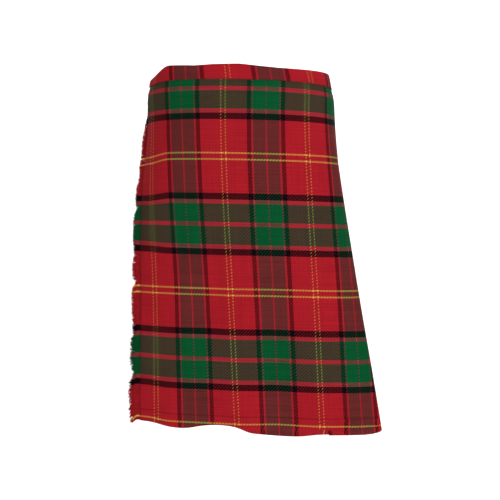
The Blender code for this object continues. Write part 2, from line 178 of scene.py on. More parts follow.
class Ring:
    # The plan at one drop, measured along the cloth from the middle yellow stripe
    def __init__(self, drop):
        size = sectionAt(drop)
        self.section = size
        middle = (size.right - size.left) / 2.0
        front, back = (middle, -size.front), (middle, size.back)
        left, right = (-size.left, size.leftY), (size.right, size.rightY)
        self.plan = np.vstack((
            quarter(front, right, form["frontRound"], True)[:-1],
            quarter(right, back, form["backRound"], False)[:-1],
            quarter(back, left, form["backRound"], True)[:-1],
            quarter(left, front, form["frontRound"], False),
        ))
        steps = np.linalg.norm(np.diff(self.plan, axis=0), axis=1)
        self.along = np.concatenate(((0.0,), np.cumsum(steps)))
        self.length = self.along[-1]
        part = slice(0, planSteps)
        if size.thread < middle:
            part = slice(-planSteps, None)
        self.start = np.interp(size.thread, self.plan[part, 0], self.along[part])
        self.foldAt = form["sett"] + size.fold
        end = self.length - size.edge - form["lastCrease"]
        self.pleat = (end - self.foldAt) / form["pleats"]
        self.edge = size.edge

    def crease(self, number):
        # Where a pleat's crease lies, counted from the over-apron's fold
        return self.foldAt + number * self.pleat

    def points(self, across):
        place = (np.asarray(across) + self.start) % self.length
        return np.column_stack((
            np.interp(place, self.along, self.plan[:, 0]),
            np.interp(place, self.along, self.plan[:, 1]),
        ))

    def headings(self, across):
        reach = 0.002
        step = self.points(np.asarray(across) + reach) - self.points(np.asarray(across) - reach)
        return np.unwrap(np.arctan2(step[:, 1], step[:, 0]))

    def frames(self, across):
        # Points of the plan and their directions along the cloth
        return self.points(across), self.headings(across)

    def apronFrames(self, across):
        # The over-apron's ends turn less than the form does, so they stand off it lower down
        step = flare["step"]
        first = math.floor((-self.edge - flare["pastEdge"]) / step)
        last = math.ceil((self.foldAt + flare["pastFold"]) / step)
        dense = step * np.arange(first, last + 1)
        turn = self.headings(dense)
        share = min(1.0, max(0.0, (self.section.drop - flare["start"]) / flare["over"]))
        kept = 1.0 - flare["most"] * share
        right, left = self.foldAt - flare["right"], flare["left"] - self.edge
        rightTurn, leftTurn = np.interp((right, left), dense, turn)
        turn = np.where(dense > right, rightTurn + kept * (turn - rightTurn), turn)
        turn = np.where(dense < left, leftTurn + kept * (turn - leftTurn), turn)
        middle = (turn[1:] + turn[:-1]) / 2.0
        walk = np.column_stack((np.cos(middle), np.sin(middle))) * step
        walk = np.vstack(((0.0, 0.0), np.cumsum(walk, axis=0)))
        walk += self.points([0.0])[0] - walk[-first]
        place = np.column_stack([np.interp(across, dense, walk[:, axis]) for axis in (0, 1)])
        return place, np.interp(across, dense, turn)


keptRings = {}


def ringAt(drop):
    key = round(float(drop), 5)
    if key not in keptRings:
        keptRings[key] = Ring(key)
    return keptRings[key]


Dip = namedtuple("Dip", "across depth")  # the waist edge is not quite level over the apron
waistDips = np.array((
    Dip(-0.160, 0.0000),
    Dip(-0.115, 0.0000),
    Dip(-0.070, 0.0028),
    Dip(-0.038, 0.0010),
    Dip(0.003, -0.0002),
    Dip(0.039, 0.0028),
    Dip(0.069, 0.0044),
    Dip(0.100, 0.0040),
    Dip(0.125, 0.0030),
    Dip(0.160, 0.0010),
))


def heightOf(drop, x, y):
    sink = smoothTable(drop, sags) * smoothStep(-x, *hang["sagSides"])
    sink = sink * (1.0 - smoothStep(y, *hang["sagBack"]))
    nearTop = np.maximum(0.0, 1.0 - drop / hang["cornerDrop"])
    corner = hang["corner"] * smoothStep(-x, *hang["cornerSides"]) * nearTop
    sink = sink + corner * (1.0 - smoothStep(y, *hang["cornerBack"]))
    dip = np.interp(x, *waistDips.T) * nearTop
    sink = sink + dip * (1.0 - smoothStep(y, *hang["dipBack"]))
    droop = hang["droop"] * smoothStep(x, *hang["sides"]) * smoothStep(drop, *hang["drops"])
    return -drop - sink - droop - form["tilt"] * x


def placed(frames, depth, drop, forward=0.0):
    # Points of the cloth: in from the plan by depth, and forward along the cloth
    plan, turn = frames
    inward = np.column_stack((-np.sin(turn), np.cos(turn)))
    ahead = np.column_stack((np.cos(turn), np.sin(turn)))
    spot = plan + inward * np.reshape(depth, (-1, 1)) + ahead * np.reshape(forward, (-1, 1))
    drop = np.broadcast_to(drop, len(spot))
    return np.column_stack((spot, heightOf(drop, spot[:, 0], spot[:, 1])))


# Soft creases, the same for every layer at a place: where each starts and ends across the cloth and
# in drop, its half width, and the depth of its trough, which is negative for a ridge

Crease = namedtuple("Crease", "across drop toAcross toDrop width depth")
creases = (
    Crease(-0.002, 0.170, 0.010, 0.640, 0.026, -0.0032),
    Crease(-0.046, 0.260, -0.040, 0.600, 0.024, 0.0036),
    Crease(-0.098, 0.330, -0.112, 0.640, 0.026, -0.0026),
    Crease(0.062, 0.330, 0.070, 0.640, 0.022, 0.0024),
    Crease(0.112, 0.240, 0.124, 0.640, 0.030, -0.0022),
    Crease(0.168, 0.360, 0.180, 0.640, 0.016, 0.0014),
    Crease(-0.024, 0.215, -0.018, 0.440, 0.010, 0.0018),
    Crease(0.036, 0.300, 0.044, 0.560, 0.012, -0.0013),
    Crease(-0.076, 0.190, -0.088, 0.430, 0.011, 0.0013),
    Crease(-0.150, 0.045, -0.060, 0.135, 0.010, 0.0010),
    Crease(-0.145, 0.075, -0.075, 0.175, 0.012, 0.0009),
    Crease(0.030, 0.030, 0.022, 0.095, 0.009, 0.0008),
    Crease(0.104, 0.032, 0.112, 0.105, 0.010, 0.0008),
    Crease(-0.062, 0.030, -0.056, 0.080, 0.008, 0.0007),
    Crease(0.300, 0.260, 0.318, 0.640, 0.030, 0.0030),
    Crease(0.372, 0.200, 0.400, 0.640, 0.034, -0.0030),
    Crease(0.455, 0.280, 0.500, 0.640, 0.030, 0.0034),
    Crease(0.530, 0.240, 0.585, 0.640, 0.034, -0.0030),
    Crease(0.600, 0.330, 0.664, 0.640, 0.028, 0.0030),
    Crease(0.668, 0.220, 0.750, 0.640, 0.034, -0.0026),
    Crease(0.735, 0.300, 0.838, 0.640, 0.026, 0.0024),
)
creaseFade = 0.45  # share of a crease's length over which it grows, and over which it fades
bulge = {  # the cloth swells under the waistband
    "drop": 0.044,
    "width": 0.020,
    "height": 0.0016,
    "below": (0.026, 0.034),
}


def sway(across, drop):
    # How far the cloth lies inside its form
    across, drop = np.broadcast_arrays(np.asarray(across, dtype=float), np.asarray(drop, dtype=float))
    inside = -bulge["height"] * bump(drop, bulge["drop"], bulge["width"])
    inside = inside * smoothStep(drop, *bulge["below"])
    for crease in creases:
        share = (drop - crease.drop) / (crease.toDrop - crease.drop)
        line = crease.across + (crease.toAcross - crease.across) * share
        strength = smoothStep(share, 0.0, creaseFade)
        if crease.toDrop < form["hem"]:
            strength = strength * (1.0 - smoothStep(share, 1.0 - creaseFade, 1.0))
        inside = inside + crease.depth * strength * bump(across, line, crease.width)
    return inside


# Meshes

class Shape:
    # Collects vertices, faces and two texture maps for one piece
    def __init__(self):
        self.points, self.faces, self.cloth, self.bake = [], [], [], []
        self.count = 0

    def add(self, points, cloth, bake):
        # Adds a grid of points with their thread coordinates and bake places, and returns its indices
        rows, columns = points.shape[:2]
        self.points.append(points.reshape(-1, 3))
        self.cloth.append(cloth.reshape(-1, 2))
        self.bake.append(bake.reshape(-1, 2))
        indices = self.count + np.arange(rows * columns).reshape(rows, columns)
        self.count += rows * columns
        return indices

    def weave(self, indices):
        # Joins a grid of indices with quads
        quads = np.stack((indices[:-1, :-1], indices[1:, :-1], indices[1:, 1:], indices[:-1, 1:]), axis=-1)
        self.faces.append(quads.reshape(-1, 4))

    def piece(self, name, material, thickness=None):
        points = np.vstack(self.points)
        cloth = np.vstack(self.cloth)
        bake = np.vstack(self.bake)
        faces = np.vstack(self.faces)
        mesh = bpy.data.meshes.new(name)
        mesh.vertices.add(len(points))
        mesh.vertices.foreach_set("co", points.astype(np.float32).ravel())
        mesh.loops.add(faces.size)
        mesh.loops.foreach_set("vertex_index", faces.astype(np.int32).ravel())
        mesh.polygons.add(len(faces))
        mesh.polygons.foreach_set("loop_start", np.arange(len(faces), dtype=np.int32) * 4)
        mesh.update(calc_edges=True)
        for layerName, places in (("cloth", cloth), ("OFBake", bake)):
            layer = mesh.uv_layers.new(name=layerName)
            layer.data.foreach_set("uv", places[faces.ravel()].astype(np.float32).ravel())
        mesh.validate()
        mesh.shade_smooth()
        mesh.materials.append(material)
        piece = bpy.data.objects.new(name, mesh)
        bpy.context.scene.collection.objects.link(piece)
        if thickness:
            wall = piece.modifiers.new("wall", "SOLIDIFY")
            wall.thickness = thickness
            wall.offset = 0.0
            wall.use_even_offset = False
        return piece


def bakeGrid(rows, columns, low=(0.0, 0.0), high=(1.0, 1.0), margin=0.004):
    across = np.linspace(low[0] + margin, high[0] - margin, columns)
    down = np.linspace(high[1] - margin, low[1] + margin, rows)
    return np.stack(np.meshgrid(across, down), axis=-1)


def wovenPiece(name, rows, maps, material, thickness=None):
    # One piece from one grid of points
    rows, maps = np.array(rows), np.array(maps)
    shape = Shape()
    shape.weave(shape.add(rows, maps, bakeGrid(*rows.shape[:2])))
    return shape.piece(name, material, thickness)


def keep(piece, slotName, *nodes):
    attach(piece, "root")
    if nodes:
        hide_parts(*nodes)


def addTubes(shape, paths, radii, sides, threads):
    # Many thin tubes at once: paths are tubes by rings by 3, and each tube has one thread coordinate
    count, rings = paths.shape[:2]
    along = np.gradient(paths, axis=1)
    along /= np.linalg.norm(along, axis=2, keepdims=True)
    first = np.cross(along, (0.31, 0.22, 0.92))
    first /= np.linalg.norm(first, axis=2, keepdims=True)
    second = np.cross(along, first)
    angle = np.arange(sides) / sides * 2.0 * math.pi
    wheel = np.cos(angle)[:, None] * first[:, :, None] + np.sin(angle)[:, None] * second[:, :, None]
    points = paths[:, :, None] + radii[:, :, None, None] * wheel
    cloth = np.broadcast_to(threads[:, None, None], (count, rings, sides, 2))
    reach = np.broadcast_to(np.linspace(0.01, 0.99, rings)[None, :, None], (count, rings, sides))
    rows = (np.arange(count)[:, None, None] + 0.2 + 0.6 * np.abs(angle / math.pi - 1.0)) / count
    bake = np.stack((reach, np.broadcast_to(rows, reach.shape)), axis=-1)
    flat = (count * rings, sides)
    indices = shape.add(points.reshape(*flat, 3), cloth.reshape(*flat, 2), bake.reshape(*flat, 2))
    indices = indices.reshape(count, rings, sides)
    closed = np.concatenate((indices, indices[:, :, :1]), axis=2)
    corners = (closed[:, :-1, :-1], closed[:, 1:, :-1], closed[:, 1:, 1:], closed[:, :-1, 1:])
    shape.faces.append(np.stack(corners, axis=-1).reshape(-1, 4))


# Materials

class Value:
    # A number socket that can be used in expressions
    def __init__(self, nodes, socket):
        self.nodes, self.socket = nodes, socket

    def maths(self, operation, *others):
        return self.nodes.node("ShaderNodeMath", {"operation": operation}, (self, *others))

    def __add__(self, other):
        return self.maths("ADD", other)

    __radd__ = __add__

    def __sub__(self, other):
        return self.maths("SUBTRACT", other)

    def __rsub__(self, other):
        return self.nodes.node("ShaderNodeMath", {"operation": "SUBTRACT"}, (other, self))

    def __mul__(self, other):
        return self.maths("MULTIPLY", other)

    __rmul__ = __mul__

    def __truediv__(self, other):
        return self.maths("DIVIDE", other)

    def __rtruediv__(self, other):
        return self.nodes.node("ShaderNodeMath", {"operation": "DIVIDE"}, (other, self))

    def fraction(self):
        return self.maths("FRACT")

    def size(self):
        return self.maths("ABSOLUTE")

    def between(self, low, high):
        # 0 below low, 1 above high, smooth in between
        settings = {"interpolation_type": "SMOOTHSTEP", "clamp": True}
        inputs = {"Value": self, "From Min": low, "From Max": high}
        return self.nodes.node("ShaderNodeMapRange", settings, inputs)


class Finish:
    # A material with its nodes: settings are set first, then sockets by name or in order
    def __init__(self, name, roughness, metallic=0.0, **constants):
        self.material = bpy.data.materials.new(name)
        self.material.use_nodes = True
        self.tree = self.material.node_tree
        self.shader = self.tree.nodes["Principled BSDF"]
        self.shader.inputs["Roughness"].default_value = roughness
        self.shader.inputs["Metallic"].default_value = metallic
        for socketName, amount in constants.items():
            self.shader.inputs[socketName.replace("_", " ")].default_value = amount

    def link(self, socket, source):
        if isinstance(source, Value):
            source = source.socket
        if isinstance(source, bpy.types.NodeSocket):
            self.tree.links.new(source, socket)
        else:
            socket.default_value = source

    def node(self, kind, settings=None, inputs=(), output=0):
        node = self.tree.nodes.new(kind)
        for setting, choice in (settings or {}).items():
            if setting == "stops":
                ramp = node.color_ramp
                while len(ramp.elements) < len(choice):
                    ramp.elements.new(1.0)
                for element, (place, colour) in zip(ramp.elements, choice):
                    element.position = place
                    element.color = (*colour, 1.0)
            elif setting == "steps":
                node.color_ramp.interpolation = choice
            else:
                setattr(node, setting, choice)
        pairs = inputs.items() if isinstance(inputs, dict) else enumerate(inputs)
        for key, source in pairs:
            self.link(node.inputs[key], source)
        return Value(self, node.outputs[output])

    def mix(self, share, first, second, blend="MIX"):
        # Mixes two colours
        settings = {"data_type": "RGBA", "blend_type": blend}
        inputs = {0: share}
        for key, colour in ((6, first), (7, second)):
            inputs[key] = colour if isinstance(colour, Value) else (*colour, 1.0)
        return self.node("ShaderNodeMix", settings, inputs, output=2)

    def shade(self, colour, amount):
        # Multiplies a colour by a grey amount
        grey = self.node("ShaderNodeCombineColor", {}, (amount, amount, amount))
        return self.mix(1.0, colour, grey, "MULTIPLY")

    def noise(self, where, scale, detail=2.0, roughness=0.5):
        settings = {"noise_dimensions": "3D"}
        inputs = {"Vector": where, "Scale": scale, "Detail": detail, "Roughness": roughness}
        return self.node("ShaderNodeTexNoise", settings, inputs)

    def place(self):
        return self.node("ShaderNodeTexCoord", {}, (), output=3)

    def mapped(self):
        # The cloth's thread coordinates, and each of the two alone
        both = self.node("ShaderNodeUVMap", {"uv_map": "cloth"})
        u, v = (self.node("ShaderNodeSeparateXYZ", {}, (both,), output=axis) for axis in (0, 1))
        return both, u, v

    def finish(self, colour, height=None, distance=0.0002, strength=1.0, roughness=None):
        self.link(self.shader.inputs["Base Color"], colour)
        if roughness is not None:
            self.link(self.shader.inputs["Roughness"], roughness)
        if height is not None:
            inputs = {"Height": height, "Distance": distance, "Strength": strength}
            relief = self.node("ShaderNodeBump", {}, inputs)
            self.link(self.shader.inputs["Normal"], relief)
        return self.material


tartan = {
    "weftRepeat": 0.222,  # one repeat of the stripes down the cloth
    "weftStripe": 0.152,  # drop of a yellow pair's middle
    "red": (0.385, 0.0105, 0.0185),
    "yellow": (0.780, 0.480, 0.085),
    "black": (0.0030, 0.0012, 0.0030),
    "crimson": (0.315, 0.036, 0.040),
    "green": (0.0010, 0.082, 0.023),
    "darkening": 0.54,  # how much unlike threads darken one another
    "pair": 0.0052,  # the twill's repeat, four threads
    "over": (0.18, 0.38),  # lower, and the weft shows more than the warp
    "seam": 0.5785,  # drop of the hem's stitching
    "seamWidth": 0.0016,
    "uneven": 0.30,  # how much single threads differ
    "single": 420.0,  # how fine the single threads are
    "roughness": 0.94,
    "sheen": 0.015,
    "specular": 0.06,
    "tone": 0.69,  # brightness before fibres, patches and the painted shade of the twill's grooves are added, and the painted shadow of the hem's stitching is taken off
    "fibres": 0.26,
    "patches": 0.18,
    # how much painted shade darkens the twill's grooves
    "grooves": 0.05,
    # how dark the painted shadow of the hem's stitching is
    "seamShadow": 0.34,
}
# Widths from a yellow pair's middle to a crimson pivot, as shares of their sum
warpHalf = (
    ("red", 1.6), ("yellow", 1.15), ("red", 20.4), ("black", 4.2), ("crimson", 1.9), ("green", 12.2),
    ("crimson", 0.75),
)
weftHalf = (
    ("red", 2.3), ("yellow", 1.4), ("red", 32.4), ("black", 6.0), ("crimson", 4.3), ("green", 17.8),
    ("crimson", 2.3),
)


def settStops(halfSett):
    total = sum(width for thread, width in halfSett)
    stops, place = [], 0.0
    for thread, width in halfSett:
        stops.append((place, tartan[thread]))
        place += width / total
    return stops


def stripes(finish, along, repeat, start, halfSett):
    # The colour of the threads at a distance along the sett
    turns = (along - start) / repeat + 0.5
    share = (turns.fraction() - 0.5).size() * 2.0
    return finish.node("ShaderNodeValToRGB", {"steps": "CONSTANT", "stops": settStops(halfSett)}, (share,))


def unevenThreads(finish, colour, where):
    # Single threads are a little lighter or darker than their neighbours
    place = finish.node("ShaderNodeCombineXYZ", {}, where)
    tone = finish.noise(place, tartan["single"], 1.0).between(0.25, 0.75)
    return finish.shade(colour, tone * tartan["uneven"] + (1.0 - tartan["uneven"] / 2.0))


def tartanCloth(name):
    settings = {"Sheen_Weight": tartan["sheen"], "Sheen_Roughness": 0.5}
    finish = Finish(name, tartan["roughness"], Specular_IOR_Level=tartan["specular"], **settings)
    both, u, v = finish.mapped()
    warp = stripes(finish, u, form["sett"], 0.0, warpHalf)
    weft = stripes(finish, v, tartan["weftRepeat"], tartan["weftStripe"], weftHalf)
    # a two by two twill: each thread passes over two and under two, one thread later in each row
    step = ((u + v) / tartan["pair"]).fraction()
    ridge = (step - 0.5).size() * 2.0
    warp = unevenThreads(finish, warp, (u, v * 0.02, 0.0))
    weft = unevenThreads(finish, weft, (u * 0.02, v, 3.0))
    darker = finish.mix(1.0, warp, weft, "DARKEN")
    threads = finish.mix(ridge.between(*tartan["over"]), warp, weft)
    colour = finish.mix(tartan["darkening"], threads, darker)
    fibres = finish.noise(both, 900.0, 2.0, 0.6)
    patches = finish.noise(both, 14.0, 3.0)
    # lowest where warp and weft floats meet: it raises the ridges in the bump, and in the colour it paints
    # shade into the grooves
    grooves = (ridge - 0.5).size() * 2.0
    # the hem's stitching pulls a faint groove; its shadow is painted into the colour as a dark line, and
    # the groove itself is not in the bump
    seam = ((v - tartan["seam"]) / tartan["seamWidth"]).size().between(1.0, 0.0)
    # fibres and patches vary the tone at random; the grooves add painted shade, and the seam line is a
    # painted shadow
    tone = tartan["tone"] + fibres * tartan["fibres"] + patches * tartan["patches"]
    tone = tone + grooves * tartan["grooves"] - seam * tartan["seamShadow"]
    warpThread, weftThread = (((way / (tartan["pair"] / 4.0)).fraction() - 0.5).size() for way in (u, v))
    relief = grooves * 0.6 + warpThread * 0.25 + weftThread * 0.25 + fibres * 0.5
    return finish.finish(finish.shade(colour, tone), relief, 0.00018, 0.55)


apronCloth = tartanCloth("apron tartan")
pleatCloth = tartanCloth("pleat tartan")
underCloth = tartanCloth("under-apron tartan")
bandCloth = tartanCloth("waistband tartan")
print("materials of the cloth made")


hemEase = {"from": 0.5955, "share": 0.85}  # cloth below this drop, and how much of it is eased in


def hemThread(drop):
    # The yellow pair's lower line at the hem stays out of sight
    return drop - np.maximum(drop - hemEase["from"], 0.0) * hemEase["share"]


# Over-apron

apronSet = {
    "thickness": 0.0007,
    "columns": 128,
    "rows": 196,
    "noseTurns": (0.18, 0.5, 0.82),  # layers across the fold's rounding
    "noseThreads": (0.0004, 0.0010, 0.0016, 0.0020),  # cloth round it
    "hidden": 8,  # columns behind the fold, half a pleat apart
    "cloth": 0.173,  # real cloth from the middle stripe to the woven edge
    "tuck": 0.0100,  # how far the hem's lower strip turns in, left of the fold
    "tuckSides": (0.002, 0.040),
    "tuckEnds": (0.150, 0.205),
    "tuckDrops": (0.589, 0.613),
    "rollSteps": 7,
    "turningRows": 8,  # in the hem's turning, up to its stitching
    "turningTop": 0.578,
    "turningLie": 0.00085,  # depth of the turning's middle at its stitching
    "shy": 0.004,  # how far the hem's turning stops short of the fold
    "shyFrom": 0.020,
}
Roll = namedtuple("Roll", "across radius")
hemRolls = np.array((  # the hem is rolled under by hand, more at the free side
    Roll(-0.190, 0.0014),
    Roll(-0.120, 0.0018),
    Roll(-0.050, 0.0023),
    Roll(-0.010, 0.0018),
    Roll(0.030, 0.0010),
    Roll(0.110, 0.0009),
    Roll(0.160, 0.0006),
    Roll(0.250, 0.0005),
))


def apronThread(across, ring):
    # Thread coordinate: the cloth on the middle stripe's free side is drawn in a little
    return np.where(across < 0.0, across * apronSet["cloth"] / ring.edge, across)


def tuckOf(across, drop):
    window = smoothStep(across, *apronSet["tuckSides"]) * (1.0 - smoothStep(across, *apronSet["tuckEnds"]))
    return apronSet["tuck"] * window * smoothStep(drop, *apronSet["tuckDrops"])


def makeOverApron():
    middle, top = form["wall"] / 2.0, form["clothTop"]
    noseTurns = np.array(apronSet["noseTurns"])
    reach = form["nose"] * np.sin(noseTurns * math.pi)
    columns, hiddenColumns = apronSet["columns"], apronSet["hidden"]
    nose = len(noseTurns) + 1
    forward = np.concatenate((np.zeros(columns), reach, np.zeros(1 + hiddenColumns)))
    layer = np.concatenate((np.zeros(columns), noseTurns, np.ones(1 + hiddenColumns)))
    rows, maps = [], []
    for share in np.linspace(0.0, 1.0, apronSet["rows"]):
        ring = Ring(top + (form["hem"] - top) * share)
        across = np.linspace(-ring.edge, ring.foldAt, columns)
        hem = smoothTable(across, apronHem)
        radius = smoothTable(across, hemRolls)
        drop = top + (hem - radius - top) * share
        hidden = np.arange(1, hiddenColumns + 1) * ring.pleat / 2.0
        allAcross = np.concatenate((across, np.full(nose, ring.foldAt), ring.foldAt - hidden))
        allDrop = np.concatenate((drop, np.full(nose + hiddenColumns, drop[-1])))
        depth = middle + layer * form["pitch"] + sway(allAcross, allDrop) + tuckOf(allAcross, allDrop)
        rows.append(placed(ring.apronFrames(allAcross), depth, allDrop, forward))
        noseThread = ring.foldAt + np.array(apronSet["noseThreads"])
        thread = np.concatenate((apronThread(across, ring), noseThread, noseThread[-1] + hidden))
        maps.append(np.column_stack((thread, hemThread(allDrop))))
    rows, maps = np.array(rows), np.array(maps)
    # the hem rolls under and runs up inside to its stitching
    frames = ring.apronFrames(across)
    shy = -apronSet["shy"] * smoothStep(across, ring.foldAt - apronSet["shyFrom"], ring.foldAt)
    thread = maps[-1][:columns, 0]
    turned, turnedMaps = [], []
    for step in range(1, apronSet["rollSteps"] + 1):
        part = step / apronSet["rollSteps"]
        angle = part * math.pi
        drop = hem - radius + radius * math.sin(angle)
        depth = middle + radius * (1.0 - math.cos(angle)) + sway(across, drop) + tuckOf(across, drop)
        turned.append(placed(frames, depth, drop, shy * part))
        turnedMaps.append(np.column_stack((thread, hemThread(hem + radius * (angle - 1.0)))))
    for share in np.linspace(0.0, 1.0, apronSet["turningRows"] + 1)[1:]:
        drop = (hem - radius) * (1.0 - share) + apronSet["turningTop"] * share
        lie = 2.0 * radius * (1.0 - share) + apronSet["turningLie"] * share
        turned.append(placed(frames, middle + lie + sway(across, drop) + tuckOf(across, drop), drop, shy))
        turnedMaps.append(np.column_stack((thread, 2.0 * hem - drop + radius)))
    shape = Shape()
    grid = shape.add(rows, maps, bakeGrid(*rows.shape[:2], low=(0.0, 0.08)))
    shape.weave(grid)
    turned = np.array(turned)
    under = shape.add(turned, np.array(turnedMaps), bakeGrid(*turned.shape[:2], high=(0.93, 0.07)))
    shape.weave(np.vstack((grid[-1:, :columns], under)))
    return shape.piece("over_apron_cloth", apronCloth, apronSet["thickness"])


overApron = makeOverApron()
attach(overApron, "root")
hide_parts("over_apron")
print("over-apron made")


# Pleated back

pleatSet = {
    "thickness": 0.0007,
    "rows": 120,
    "strip": 7,  # columns across a visible strip
    "groups": ((0, 5), (5, 11), (11, 17), (17, 22)),  # pleats of the four pieces
    "firstCrease": 0.204 + 0.1663,
    "take": 0.1663,  # cloth from one crease to the next: a sett and a visible strip
    "lift": 0.0016,  # how far a crease may stand off below the stitched part
    "wander": 0.0014,  # and how far it may lie to one side
    "waver": 11.0,
    "puff": 0.0006,  # how far a visible strip swells between creases
    "stitchedTo": 0.215,
    "turning": 0.001,  # cloth in a crease
}
liftOf = dice.uniform(0.15, 1.0, form["pleats"] + 1) * pleatSet["lift"]
wanderOf = dice.uniform(-1.0, 1.0, (form["pleats"] + 1, 2)) * pleatSet["wander"]


def pleatColumns(first, last):
    # Each column: pleat, rib, layer, reach past the rib, and whether it is on the stretch that runs
    # out from the hidden turn to the crease, or on the one that runs back in under it
    columns = []
    noses = ((0.0, 0.0), (0.15, 0.7), (0.5, 1.0), (0.85, 0.7), (1.0, 0.0))
    for pleat in range(first + 1, last + 1):
        hidden = ((-3.0, 6.0), (-2.0, 4.0), (-1.4, 2.8))
        if pleat == 1:
            hidden = ((-4.0, 2.0), (-3.0, 2.0), (-2.0, 2.0), (-1.5, 2.0))
        columns += [(pleat, pleat + back, layer, 0.0, True) for back, layer in hidden]
        for step in range(pleatSet["strip"]):
            share = step / pleatSet["strip"]
            columns.append((pleat, pleat - 1.0 + share, 2.0 * (1.0 - share), 0.0, True))
        for layer, reach in noses:
            columns.append((pleat, float(pleat), layer, reach * form["nose"], layer < 0.5))
        for back, layer in ((0.5, 2.0), (1.0, 3.0), (2.0, 5.0)):
            columns.append((pleat, pleat - back, layer, 0.0, False))
        if pleat < form["pleats"]:
            columns.append((pleat, pleat - 2.0, 5.5, -form["nose"], False))
            if pleat == last:
                columns.append((pleat, pleat - 2.0, 6.0, 0.0, False))
    return columns


def makePleats(first, last, name):
    pleat, rib, layer, reach, outward = (np.array(values) for values in zip(*pleatColumns(first, last)))
    near = np.clip(1.0 - np.abs(rib - pleat), 0.0, 1.0) * (layer <= 2.0)  # 1 at the crease, 0 a rib away
    puff = pleatSet["puff"] * np.sin(near * math.pi) * outward
    take, turning = pleatSet["take"], pleatSet["turning"]
    crease = pleatSet["firstCrease"] + (pleat - 1) * take
    rows, maps = [], []
    for drop in np.linspace(form["clothTop"], form["hem"], pleatSet["rows"]):
        ring = Ring(drop)
        free = float(smoothStep(drop, pleatSet["stitchedTo"], form["hem"])) * near ** 2
        across = ring.crease(rib)
        lift = liftOf[pleat] * free
        wander = (wanderOf[pleat, 0] + wanderOf[pleat, 1] * math.sin(drop * pleatSet["waver"])) * free
        depth = form["wall"] / 2.0 + layer * form["pitch"] - lift - puff + sway(across, drop)
        rows.append(placed(ring.frames(across), depth, drop, reach + wander))
        back = (pleat - rib) * ring.pleat
        slack = (take - ring.pleat) / (4.0 * ring.pleat)
        outThread = crease - np.minimum(back, ring.pleat) - slack * np.maximum(back - ring.pleat, 0.0)
        thread = np.where(outward, outThread, crease + turning + slack * back)
        maps.append(np.column_stack((thread, np.full(len(rib), hemThread(drop)))))
    return wovenPiece(name, rows, maps, pleatCloth, pleatSet["thickness"])


for index, (first, last) in enumerate(pleatSet["groups"]):
    pleats = makePleats(first, last, "pleats_" + "abcd"[index])
    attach(pleats, "root")
    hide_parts("pleated_back")
print("pleats made")


# Under-apron

underSet = {
    "set": 0.0085,  # depth of its middle, clear of the over-apron
    "lead": 0.014,  # over which it comes out from the pleats
    "short": 0.022,  # how far its free end stops short of the deep pleat
    "leadColumns": 24,
    "columns": 90,
    "rows": 110,
    "thickness": 0.0007,
    "ease": 0.030,
    "follow": 0.5,  # how much it follows the over-apron's soft creases
    "thread": 0.020,  # thread coordinate at its hidden edge
}


def underPath(ring):
    # Cloth along the form and the depth of its middle, from inside the last pleat to the free end
    last, deep = form["pleats"], underSet["set"]
    edge = ring.length - ring.edge
    freeEnd = ring.length + ring.crease(-3) - underSet["short"]
    half, pitch = form["wall"] / 2.0, form["pitch"]
    table = (
        (ring.crease(last - 2), half + 6 * pitch),
        (ring.crease(last - 1), half + 4 * pitch),
        (ring.crease(last), half + 3 * pitch),
        (edge - underSet["lead"], deep - 0.001),
        (edge, deep),
    )
    places, depths = zip(*table)
    lead = np.linspace(places[0], edge, underSet["leadColumns"])
    across = np.concatenate((lead, np.linspace(edge, freeEnd, underSet["columns"] + 1)[1:]))
    return across, np.interp(across, places, depths)


def makeUnderApron():
    rows, maps = [], []
    for drop in np.linspace(form["clothTop"], form["underHem"], underSet["rows"]):
        ring = Ring(drop)
        across, depth = underPath(ring)
        edge = ring.length - ring.edge
        ease = smoothStep(across, edge - underSet["ease"], edge + underSet["ease"])
        over = underSet["follow"] * sway(across - ring.length, drop)
        depth = depth + sway(across, drop) * (1.0 - ease) + over * ease
        rows.append(placed(ring.frames(across), depth, drop))
        maps.append(np.column_stack((across - across[0] + underSet["thread"], np.full(len(across), drop))))
    return wovenPiece("under_apron_cloth", rows, maps, underCloth, underSet["thickness"])


underApron = makeUnderApron()
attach(underApron, "root")
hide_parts("under_apron")
print("under-apron made")


# Waistband: a strip of the same cloth folded over the top

bandSet = {
    "cloth": 0.0012,  # its wall in the CAD
    "thickness": 0.0009,
    "gap": 0.0003,  # between it and the layers inside
    "corner": 0.0013,  # rounding of its fold
    "cornerTurns": (0.5, 1.0, 1.57),
    "outRows": 12,
    "inRows": 9,
    "ramp": 0.016,  # over which it steps out to the over-apron's stack
    "past": 0.003,  # past the last crease it still lies on the pleats
    "step": 0.009,  # and by here it has stepped in to the under-apron
    "stepShy": 0.0035,
    "columns": 420,
    "shift": 0.0065,  # its stripes lie this far to the wearer's left of the cloth's below
    "weft": 0.0950,  # where on the cloth its lower edge was cut
    "puff": 0.0005,
    "insidePuff": 0.4,  # as a share of the outside's
    "waves": 0.00035,
}


def bandDepths(ring, across):
    # Depth of the strip's outer and inner face where it lies on apron, pleats and under-apron
    half, gap = bandSet["cloth"] / 2.0, bandSet["gap"]
    out = -gap - half
    single = form["wall"] + gap + half
    stack = single + 6.0 * form["pitch"]
    reach = form["wall"] / 2.0 + gap + half
    start, end = ring.crease(-3), ring.crease(form["pleats"])
    edge = ring.length - ring.edge
    under = underSet["set"]
    table = (
        (start - bandSet["ramp"], out, single),
        (start, out, stack),
        (end + bandSet["past"], out, stack),
        (end + bandSet["step"], under - reach - bandSet["stepShy"], under + reach),
        (edge - underSet["lead"], under - reach - 0.001, under + reach - 0.001),
        (edge, under - reach, under + reach),
    )
    places, outs, insides = zip(*table)
    return np.interp(across, places, outs), np.interp(across, places, insides)


def bandReach(ring, share):
    end = ring.length + ring.crease(-3) - underSet["short"]
    return share * (end + ring.edge) - ring.edge


